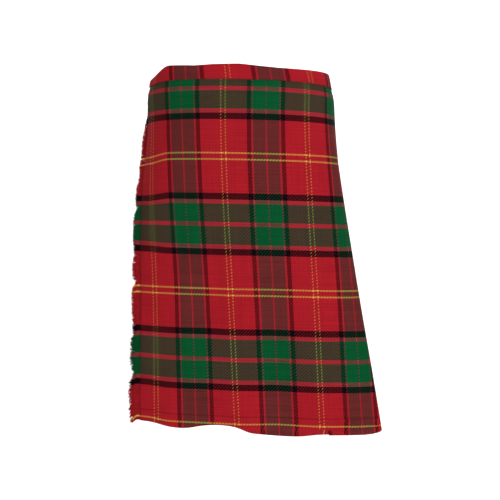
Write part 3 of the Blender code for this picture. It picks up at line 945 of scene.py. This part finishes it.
def bandSwell(across, drop, fullness):
    # How far the strip's face lies inside its plain form, between its fold and its lower edge
    top, low = bandSet["cloth"] / 2.0, form["band"]
    soft = math.sin(math.pi * min(1.0, max(0.0, (drop - top) / (low - top))))
    waves = np.sin(across * 83.0 + drop * 60.0) + 0.7 * np.sin(across * 147.0 + 1.3)
    return (bandSet["waves"] * waves - bandSet["puff"] * fullness) * soft


def makeWaistband():
    corner, top, low = bandSet["corner"], bandSet["cloth"] / 2.0, form["band"]
    rounding = []
    for turn in bandSet["cornerTurns"]:
        rounding.append((top + corner - corner * math.sin(turn), corner * (1.0 - math.cos(turn))))
    path = [(drop, 0.0, 0.0) for drop in np.linspace(low, top + corner, bandSet["outRows"])]
    path += [(drop, 0.0, inset) for drop, inset in rounding]
    path += [(top, 0.5, 0.0)]
    path += [(drop, 1.0, -inset) for drop, inset in reversed(rounding)]
    path += [(drop, 1.0, 0.0) for drop in np.linspace(top + corner, low, bandSet["inRows"])]
    share = np.linspace(0.0, 1.0, bandSet["columns"])
    thread = bandReach(ringAt(low / 2.0), share) - bandSet["shift"]
    rows, maps, weft, last = [], [], bandSet["weft"], None
    for drop, side, inset in path:
        ring = ringAt(drop)
        across = bandReach(ring, share)
        out, inside = bandDepths(ring, across)
        fullness = 1.0 if side == 0.0 else -bandSet["insidePuff"]
        face = out * (1.0 - side) + inside * side + inset + bandSwell(across, drop, fullness)
        rows.append(placed(ring.frames(across), face, drop))
        spot = Vector((drop, side * 0.003, 0.0))
        if last is not None:
            weft += (spot - last).length
        last = spot
        maps.append(np.column_stack((thread, np.full(len(across), weft))))
    return wovenPiece("waistband_cloth", rows, maps, bandCloth, bandSet["thickness"])


waistband = makeWaistband()
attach(waistband, "root")
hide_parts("waistband")
print("waistband made")


# Stitches: short rounded threads along a line of places

stitchProfile = np.array((  # places along a stitch and its thickness there, as shares
    (0.00, 0.05),
    (0.04, 0.70),
    (0.25, 1.00),
    (0.50, 1.00),
    (0.75, 1.00),
    (0.96, 0.70),
    (1.00, 0.05),
))


def makeStitches(name, starts, ends, radius, material, slotName):
    # One straight stitch from each start to its end, thin where it dips into its holes
    starts, ends = np.array(starts), np.array(ends)
    share = stitchProfile[None, :, :1]
    paths = starts[:, None] * (1.0 - share) + ends[:, None] * share
    radii = radius * stitchProfile[None, :, 1] * np.ones((len(starts), 1))
    shape = Shape()
    addTubes(shape, paths, radii, 5, np.zeros((len(starts), 2)))
    keep(shape.piece(name, material), slotName)


def threadFinish(name, colour):
    finish = Finish(name, 0.75, Specular_IOR_Level=0.3)
    twist = finish.noise(finish.place(), 2600.0, 1.0)
    return finish.finish(finish.shade(colour, 0.8 + twist * 0.4), twist, 0.0001, 0.5)


redThread = threadFinish("red sewing thread", (0.16, 0.012, 0.016))
bandStitchSet = {
    "pitch": 0.0031,
    "length": 0.0022,
    "radius": 0.00017,
    "drop": 0.0237,
    "proud": 0.0001,
    "start": 0.002,  # from the over-apron's free edge
}


def makeBandStitches():
    level = bandStitchSet["drop"]
    ring = ringAt(level)
    start, end = bandStitchSet["start"] - ring.edge, ring.crease(form["pleats"])
    across = np.arange(start, end, bandStitchSet["pitch"])
    depth = -bandSet["gap"] - (bandSet["cloth"] + bandSet["thickness"]) / 2.0 - bandStitchSet["proud"]
    ends = []
    for reach in (0.0, bandStitchSet["length"]):
        place = across + reach
        ends.append(placed(ring.frames(place), depth + bandSwell(place, level, 1.0), level))
    makeStitches("waistband_stitches", *ends, bandStitchSet["radius"], redThread, "tartan")


makeBandStitches()


hemStitchSet = {
    "pitch": 0.0052,
    "length": 0.0016,
    "radius": 0.00013,
    "drop": 0.5785,
    "proud": 0.00005,
    "edges": (0.004, 0.002),  # from the over-apron's free edge, and from its fold
}


def makeHemStitches():
    # The hem's blind stitching only dimples the face
    level = hemStitchSet["drop"]
    ring = ringAt(level)
    start, end = hemStitchSet["edges"][0] - ring.edge, ring.foldAt - hemStitchSet["edges"][1]
    across = np.arange(start, end, hemStitchSet["pitch"])
    depth = (form["wall"] - apronSet["thickness"]) / 2.0 - hemStitchSet["proud"]
    ends = []
    for reach in (0.0, hemStitchSet["length"]):
        place = across + reach
        drop = np.full(len(place), level)
        lie = depth + sway(place, drop) + tuckOf(place, drop)
        ends.append(placed(ring.apronFrames(place), lie, drop))
    makeStitches("hem_stitches", *ends, hemStitchSet["radius"], redThread, "tartan")


makeHemStitches()
print("stitches made")


# Fringe: the unravelled weft along the over-apron's woven edge, teased and matted

fringeSet = {
    "pitch": 0.00030,  # drop between neighbouring threads
    "jitter": 0.0004,
    "length": 0.0145,
    "uneven": (0.80, 1.08),
    "tufts": ((0.016, 0.0020), (0.045, 0.0014)),  # pitch of longer and shorter tufts, and by how much
    "radius": 0.00062,
    "rings": 8,
    "sides": 4,
    "root": 0.0016,  # each thread starts this far inside the edge
    "top": 0.0300,
    "stray": 0.07,  # how far single threads turn from their neighbours, in radians
    "turning": (0.0120, 0.17),  # pitch of whole tufts, and how far they turn
    "droop": 0.10,
    "hemDroop": 0.55,  # how much more they hang by the hem
    "hemDrops": (0.48, 0.60),
    "outward": 1.15,  # how far it turns out from the cloth
    "outTurning": (0.009, 0.20),
    "outStray": 0.07,
    "longer": 0.50,  # how much longer it is by the hem
    "longerDrops": (0.38, 0.58),
    "hidden": (0.072, 0.104),  # above this it lies back under the strap
    "laidBack": 0.12,
    "curl": 0.38,
}
Tuft = namedtuple("Tuft", "drop width longer")  # where it is matted longer, or has worn away
fringeTufts = (
    Tuft(0.236, 0.007, -0.0035),
    Tuft(0.264, 0.018, 0.0030),
    Tuft(0.364, 0.005, -0.0065),
    Tuft(0.392, 0.018, 0.0015),
    Tuft(0.448, 0.006, -0.0030),
    Tuft(0.515, 0.009, -0.0030),
)


def fringeFinish():
    finish = Finish("fringe yarn", 0.95, Sheen_Weight=0.02, Specular_IOR_Level=0.06)
    v = finish.mapped()[2]
    weft = stripes(finish, v, tartan["weftRepeat"], tartan["weftStripe"], weftHalf)
    fuzz = finish.noise(finish.place(), 1500.0, 2.0)
    clumps = finish.noise(finish.place(), 160.0, 1.0)
    colour = finish.shade(weft, 0.45 + fuzz * 0.35 + clumps * 0.45)
    return finish.finish(colour, fuzz, 0.0002, 0.6)


def tuftNoise(drops, length, amplitude):
    knots = dice.uniform(-1.0, 1.0, int(0.7 / length) + 3)
    return amplitude * np.interp(drops, np.arange(len(knots)) * length, knots)


def makeFringe():
    edgeDrops = np.linspace(fringeSet["top"], form["hem"], 60)
    edges = [ringAt(drop).apronFrames(np.array([-ringAt(drop).edge])) for drop in edgeDrops]
    points = np.array([place[0] for place, turn in edges])
    turns = np.unwrap([turn[0] for place, turn in edges])
    end = float(smoothTable(apronHem[0, 0] + 0.02, apronHem)) - 0.001
    drops = np.arange(fringeSet["top"], end, fringeSet["pitch"])
    count, rings, root = len(drops), fringeSet["rings"], fringeSet["root"]
    drops = drops + dice.uniform(-fringeSet["jitter"], fringeSet["jitter"], count)
    # how long each thread is
    lengths = fringeSet["length"] * dice.uniform(*fringeSet["uneven"], count)
    for tuftPitch, change in fringeSet["tufts"]:
        lengths = lengths + tuftNoise(drops, tuftPitch, change)
    for tuft in fringeTufts:
        lengths = lengths + tuft.longer * bump(drops, tuft.drop, tuft.width)
    lengths = lengths * (1.0 + fringeSet["longer"] * smoothStep(drops, *fringeSet["longerDrops"]))
    # how far it turns down and out, in radians
    droop = fringeSet["droop"] + tuftNoise(drops, *fringeSet["turning"])
    droop = droop + dice.normal(0.0, fringeSet["stray"], count)
    droop = droop + fringeSet["hemDroop"] * smoothStep(drops, *fringeSet["hemDrops"])
    outward = fringeSet["outward"] + tuftNoise(drops, *fringeSet["outTurning"])
    outward = outward + dice.normal(0.0, fringeSet["outStray"], count)
    shown = smoothStep(drops, *fringeSet["hidden"])
    outward = outward * (fringeSet["laidBack"] * (1.0 - shown) + shown)
    curl = dice.normal(0.0, fringeSet["curl"], (2, count))
    phase = dice.uniform(0.0, 2.0 * math.pi, count)
    # each thread is walked out from the cloth, a step at a time
    across = np.column_stack([np.interp(drops, edgeDrops, points[:, axis]) for axis in (0, 1)])
    frames = across, np.interp(drops, edgeDrops, turns)
    forwardAt = np.full(count, root)
    inwardAt = form["wall"] / 2.0 + dice.uniform(-0.0003, 0.0003, count)
    inwardAt = inwardAt + sway(-ringAt(edgeDrops[0]).edge, drops)
    dropAt = drops
    step = (lengths + root) / (rings - 1)
    paths = []
    for share in np.arange(rings) / (rings - 1):
        paths.append(placed(frames, inwardAt, dropAt, forwardAt))
        free = smoothStep(share, 0.08, 0.7)
        down = free * (droop + curl[0] * share ** 2 * 0.7 + 0.16 * np.sin(phase + share * 9.0))
        out = free * (outward + curl[1] * share ** 2 * 0.25 + 0.12 * np.cos(phase + share * 8.0))
        forwardAt = forwardAt - step * np.cos(down) * np.cos(out)
        inwardAt = inwardAt - step * np.sin(out)
        dropAt = dropAt + step * np.sin(down)
    paths = np.transpose(np.array(paths), (1, 0, 2))
    taper = np.array([0.7] + [1.0] * (rings - 3) + [0.9, 0.25])
    radii = fringeSet["radius"] * taper[None, :] * dice.uniform(0.75, 1.2, (count, 1))
    shape = Shape()
    addTubes(shape, paths, radii, fringeSet["sides"], np.column_stack((np.zeros(count), drops)))
    return shape.piece("fringe_threads", fringeFinish())


fringe = makeFringe()
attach(fringe, "root")
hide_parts("apron_fringe")
print("fringe made")


# Straps and buckles at the wearer's right

strapSet = {
    "width": 0.022,
    "leather": 0.0020,  # its thickness
    "root": 0.022,  # how far its end is sewn in behind the over-apron
    "clear": 0.004,  # where it leaves the over-apron
    "cross": 0.016,  # and is half way out
    "crossDepth": 0.0015,
    "down": 0.026,  # past this it lies on the pleats
    "far": 0.098,  # its tip
    "frontBar": 0.052,  # where the buckle starts, past the over-apron's edge
    "barEase": 0.007,
    "beforeBar": 0.012,
    "pastBar": 0.010,
    "rise": 0.0008,
    "ease": 0.0004,
    "overBar": 0.0010,  # clear of the buckle's far bar
    "tip": 0.013,  # length of the rounded tip
    "steps": (70, 14),  # rows along the straight and along the tip
}
strapStitchSet = {"start": 0.014, "inset": 0.0028, "pitch": 0.0030, "length": 0.0021, "radius": 0.00024}
holeSet = {
    "places": (0.0795, 0.0875, 0.041, 0.033),  # along the strap
    "radius": 0.0016,
    "rim": 0.00026,
    "steps": 17,
    "sides": 6,
}
tabSet = {"width": 0.019, "leather": 0.0015, "far": 0.112, "room": 0.0008, "tip": 0.008, "steps": (14, 10)}
buckleSet = {"wire": 0.0015, "length": 0.022, "width": 0.027, "corner": 0.004, "steps": 9}
prongSet = {
    "wire": 0.0010,
    "lie": ((-0.0025, 0.0004), (0.0, 0.0), (0.006, 0.0001), (0.0115, -0.0003)),  # past the bar, and in
    "steps": 14,
}
stitchProud = 0.00012  # how far stitches and hole rims stand out of the leather
Fastening = namedtuple("Fastening", "name drop surface")
fastenings = (Fastening("waist", 0.013, -0.0019), Fastening("hip", 0.112, -0.0009))


def sidePoints(fastening, place, side, depth):
    # Points past the over-apron's woven edge, down from the fastening's own drop, in from the form
    drop = fastening.drop + side
    ring = ringAt(drop)
    across = np.atleast_1d(-ring.edge - np.asarray(place, dtype=float))
    return placed(ring.frames(across), np.broadcast_to(depth, across.shape), round(drop, 5))


def leatherFinish(name):
    finish = Finish(name, 0.42, Specular_IOR_Level=0.45)
    place = finish.place()
    grain = finish.noise(place, 1400.0, 3.0, 0.6)
    wrinkles = finish.noise(place, 260.0)
    colour = finish.mix(grain.between(0.35, 0.75), (0.012, 0.010, 0.009), (0.028, 0.022, 0.018))
    roughness = 0.34 + wrinkles * 0.26
    return finish.finish(colour, grain * 0.7 + wrinkles * 0.5, 0.00025, 0.5, roughness)


def steelFinish(name):
    finish = Finish(name, 0.2, 1.0)
    brush = finish.noise(finish.place(), 900.0)
    colour = finish.mix(brush.between(0.3, 0.8), (0.66, 0.64, 0.60), (0.52, 0.51, 0.49))
    return finish.finish(colour, brush, 0.00004, 0.3, 0.16 + brush * 0.16)


leather = leatherFinish("black strap leather")
steel = steelFinish("nickel plate")
leatherThread = threadFinish("strap thread", (0.110, 0.095, 0.080))


def tipPlaces(start, end, tip, steps):
    # Places along a strip, closer together round its tip
    turn = np.linspace(0.0, 1.0, steps[1]) * math.pi / 2.0
    return np.concatenate((np.linspace(start, end - tip, steps[0])[:-1], end - tip * np.cos(turn)))


def stripShape(fastening, places, depths, width, thickness, tip):
    # A leather strip with rounded edges and a rounded tip, as one closed skin
    half, rounding = thickness / 2.0, thickness * 0.35
    past = (places - (places[-1] - tip)) / tip
    shares = np.sqrt(1.0 - np.clip(past, 0.0, 1.0) ** 2.4)
    columns = []
    for corner, (across, up) in enumerate(((1.0, 1.0), (-1.0, 1.0), (-1.0, -1.0), (1.0, -1.0))):
        for step in range(4):
            angle = (corner + step / 3.0) * math.pi / 2.0
            reach = across * (width / 2.0 - rounding) + math.cos(angle) * rounding
            lift = up * (half - rounding) + math.sin(angle) * rounding
            column = []
            for place, depth, share in zip(places, depths, shares):
                column.append(sidePoints(fastening, place, reach * max(share, 0.02), depth - lift)[0])
            columns.append(column)
    columns.append(columns[0])
    points = np.transpose(np.array(columns), (1, 0, 2))
    centre = points[:, :-1].mean(axis=1, keepdims=True)
    start, end = (np.repeat(centre[[row]], points.shape[1], axis=1) for row in (0, -1))
    points = np.concatenate((start, points, end))
    shape = Shape()
    grid = bakeGrid(*points.shape[:2])
    shape.weave(shape.add(points, grid, grid))
    return shape


def strapDepth(fastening, place):
    # Depth of the strap's middle: from inside the over-apron out to the pleats, over the bars and the tab
    half, gap = strapSet["leather"] / 2.0, bandSet["gap"]
    inside = form["wall"] + 2.0 * gap + half
    if fastening.drop < form["band"]:
        inside += gap + bandSet["cloth"]
    onCloth = fastening.surface - 2.0 * gap - half
    overTab = onCloth - tabSet["leather"] - gap
    overBar = onCloth - 2.0 * buckleSet["wire"] - strapSet["overBar"]
    front = strapSet["frontBar"]
    back = front + buckleSet["length"]
    table = (
        (-strapSet["root"], inside),
        (-strapSet["root"] / 2.0, inside),
        (strapSet["clear"], inside),
        (strapSet["cross"], strapSet["crossDepth"]),
        (strapSet["down"], onCloth),
        (front - strapSet["beforeBar"], onCloth),
        (front, onCloth),
        (front + strapSet["barEase"], onCloth - strapSet["rise"]),
        (back - strapSet["barEase"], overBar + strapSet["ease"]),
        (back, overBar),
        (back + strapSet["pastBar"], overTab - strapSet["ease"]),
        (strapSet["far"], overTab),
    )
    return smoothTable(place, table)


def wireObject(name, points, radius, cyclic, material):
    curve = bpy.data.curves.new(name, "CURVE")
    curve.dimensions = "3D"
    curve.bevel_depth = radius
    curve.bevel_resolution = 5
    curve.use_fill_caps = not cyclic
    spline = curve.splines.new("POLY")
    spline.points.add(len(points) - 1)
    for spot, place in zip(spline.points, points):
        spot.co = (*place, 1.0)
    spline.use_cyclic_u = cyclic
    curve.materials.append(material)
    piece = bpy.data.objects.new(name, curve)
    bpy.context.scene.collection.objects.link(piece)
    return piece


def makeStrap(fastening):
    places = tipPlaces(-strapSet["root"], strapSet["far"], strapSet["tip"], strapSet["steps"])
    depths = strapDepth(fastening, places)
    sizes = strapSet["width"], strapSet["leather"], strapSet["tip"]
    strap = stripShape(fastening, places, depths, *sizes).piece(fastening.name + "_strap_leather", leather)
    keep(strap, "leather", fastening.name + "_strap")


def makeStrapStitches(fastening):
    # Along both edges
    end = strapSet["far"] - strapSet["tip"]
    start = np.arange(strapStitchSet["start"], end, strapStitchSet["pitch"])
    inset = strapSet["width"] / 2.0 - strapStitchSet["inset"]
    ends = []
    for places in (start, start + strapStitchSet["length"]):
        depth = strapDepth(fastening, places) - strapSet["leather"] / 2.0 - stitchProud
        ends.append(np.vstack([sidePoints(fastening, places, side * inset, depth) for side in (-1.0, 1.0)]))
    name = fastening.name + "_strap_stitches"
    makeStitches(name, *ends, strapStitchSet["radius"], leatherThread, "leather")


def makeHoles(fastening):
    # Rims of the strap's spare holes
    loops = []
    for place in holeSet["places"]:
        loop = []
        for turn in np.linspace(0.0, 2.0 * math.pi, holeSet["steps"]):
            spot = place + holeSet["radius"] * math.cos(turn)
            depth = strapDepth(fastening, spot) - strapSet["leather"] / 2.0 - stitchProud
            loop.append(sidePoints(fastening, spot, holeSet["radius"] * math.sin(turn), depth)[0])
        loops.append(loop)
    loops = np.array(loops)
    shape = Shape()
    radii = np.full(loops.shape[:2], holeSet["rim"])
    addTubes(shape, loops, radii, holeSet["sides"], np.zeros((len(loops), 2)))
    keep(shape.piece(fastening.name + "_strap_holes", leather), "leather")


def makeTab(fastening):
    # It holds the buckle to the pleats
    start = strapSet["frontBar"] + buckleSet["length"] + buckleSet["wire"] + tabSet["room"]
    places = tipPlaces(start, tabSet["far"], tabSet["tip"], tabSet["steps"])
    depths = np.full(len(places), fastening.surface - bandSet["gap"] - tabSet["leather"] / 2.0)
    sizes = tabSet["width"], tabSet["leather"], tabSet["tip"]
    tab = stripShape(fastening, places, depths, *sizes).piece(fastening.name + "_tab_leather", leather)
    keep(tab, "leather", fastening.name + "_buckle_tab")


def makeBuckle(fastening):
    gap, wire, bend = bandSet["gap"], buckleSet["wire"], buckleSet["corner"]
    strapTop = fastening.surface - 2.0 * gap - strapSet["leather"]
    front, back = strapTop - gap - wire, fastening.surface - gap - wire
    far = buckleSet["length"] - bend
    points = []
    for corner, (centre, side) in enumerate(((bend, -1.0), (far, -1.0), (far, 1.0), (bend, 1.0))):
        for turn in np.linspace(0.0, 1.0, buckleSet["steps"]):
            angle = math.pi + (corner + turn) * math.pi / 2.0
            reach = centre + bend * math.cos(angle)
            depth = front + (back - front) * reach / buckleSet["length"]
            sideways = side * (buckleSet["width"] / 2.0 - bend) + bend * math.sin(angle)
            points.append(sidePoints(fastening, strapSet["frontBar"] + reach, sideways, depth)[0])
    buckle = wireObject(fastening.name + "_buckle_frame", points, wire, True, steel)
    keep(buckle, "steel", fastening.name + "_buckle")
    # the prong
    lowest = front - gap - wire - prongSet["wire"]
    places = np.linspace(prongSet["lie"][0][0], prongSet["lie"][-1][0], prongSet["steps"])
    depth = lowest + smoothTable(places, prongSet["lie"])
    points = sidePoints(fastening, strapSet["frontBar"] + places, 0.0, depth)
    prong = wireObject(fastening.name + "_prong_wire", points, prongSet["wire"], False, steel)
    keep(prong, "steel", fastening.name + "_buckle_prong")


for fastening in fastenings:
    makeStrap(fastening)
    makeStrapStitches(fastening)
    makeHoles(fastening)
    makeTab(fastening)
    makeBuckle(fastening)
print("straps and buckles made")


# Room: pale floor and backdrop in one sweep, and soft studio light

room = {
    "floor": -1.15,
    "back": 2.6,
    "front": -3.2,
    "half": 3.4,
    "top": 3.0,
    "round": 0.9,
    "colour": (0.92, 0.92, 0.91),
    "ambient": 0.26,
}
lights = {  # place, aim, size and watts
    "key": ((1.00, -2.35, 0.85), (0.0, 0.0, -0.20), (1.1, 1.0), 48),
    "fill": ((-1.3, -1.9, 0.3), (0.0, 0.0, -0.25), (1.2, 1.2), 5),
    "sweep": ((0.0, 0.9, 1.9), (0.0, 2.4, -0.9), (3.2, 0.8), 90),
}


def makeRoom():
    side = [(room["front"], room["floor"])]
    for angle in np.linspace(0.0, math.pi / 2.0, 13):
        y = room["back"] - room["round"] * (1.0 - math.sin(angle))
        side.append((y, room["floor"] + room["round"] * (1.0 - math.cos(angle))))
    side.append((room["back"], room["top"]))
    rows = np.array([[(-room["half"], y, z), (room["half"], y, z)] for y, z in side])
    finish = Finish("pale backdrop", 0.85)
    floor = wovenPiece("backdrop", rows, rows[..., :2], finish.finish((*room["colour"], 1.0)))


def makeLight(name, place, aim, size, watts):
    lamp = bpy.data.lights.new(name, "AREA")
    lamp.shape = "RECTANGLE"
    lamp.size, lamp.size_y = size
    lamp.energy = watts
    holder = bpy.data.objects.new(name, lamp)
    holder.location = place
    holder.rotation_euler = (Vector(aim) - Vector(place)).to_track_quat("-Z", "Y").to_euler()
    bpy.context.scene.collection.objects.link(holder)


makeRoom()
for name, values in lights.items():
    makeLight(name, *values)
world = bpy.data.worlds.new("studio")
world.use_nodes = True
sky = world.node_tree.nodes["Background"]
sky.inputs["Color"].default_value = (1.0, 1.0, 1.0, 1.0)
sky.inputs["Strength"].default_value = room["ambient"]
bpy.context.scene.world = world
print("room and lights made")
